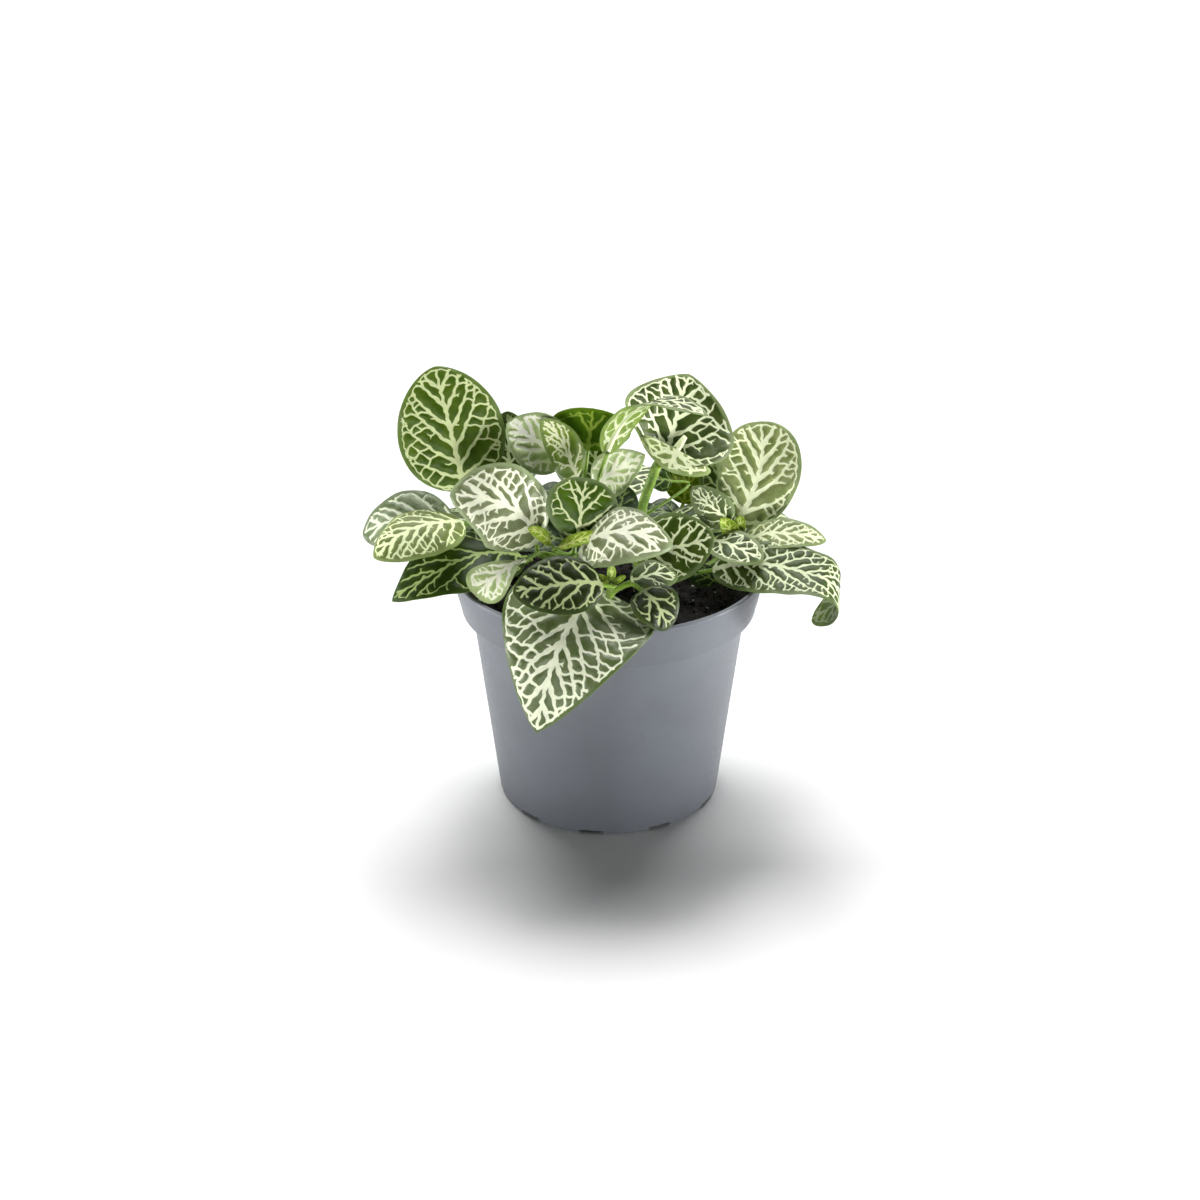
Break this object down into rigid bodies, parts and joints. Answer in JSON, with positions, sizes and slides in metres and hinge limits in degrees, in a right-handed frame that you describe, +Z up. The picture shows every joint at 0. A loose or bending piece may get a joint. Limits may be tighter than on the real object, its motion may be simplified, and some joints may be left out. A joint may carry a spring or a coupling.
{
  "type": "potted nerve plant",
  "caption": "Low nerve plant with oval green leaves netted with cream veins, growing in a grey plastic nursery pot with a stepped rim band.",
  "frame": {"origin": "centre of the pot's foot, on the surface that it stands on", "axes": "+Z up; -Y towards the side that the plant shows best; +X to the right of a viewer who faces that side"},
  "size_m": [0.178, 0.1614, 0.1673],
  "materials": {
    "pot": "fine matte, cool grey",
    "soil": "rough, damp dark potting soil",
    "leaf": "soft satin leaf"
  },
  "bodies": {
    "root": {"pot": "pot", "soil": "soil", "shoot_front_left": "leaf", "shoot_front": "leaf", "shoot_right": "leaf", "shoot_middle_right": "leaf", "shoot_middle_left": "leaf", "shoot_left": "leaf", "shoot_middle": "leaf", "shoot_back_left": "leaf", "shoot_back": "leaf", "shoot_back_right": "leaf"}
  },
  "joints": []
}
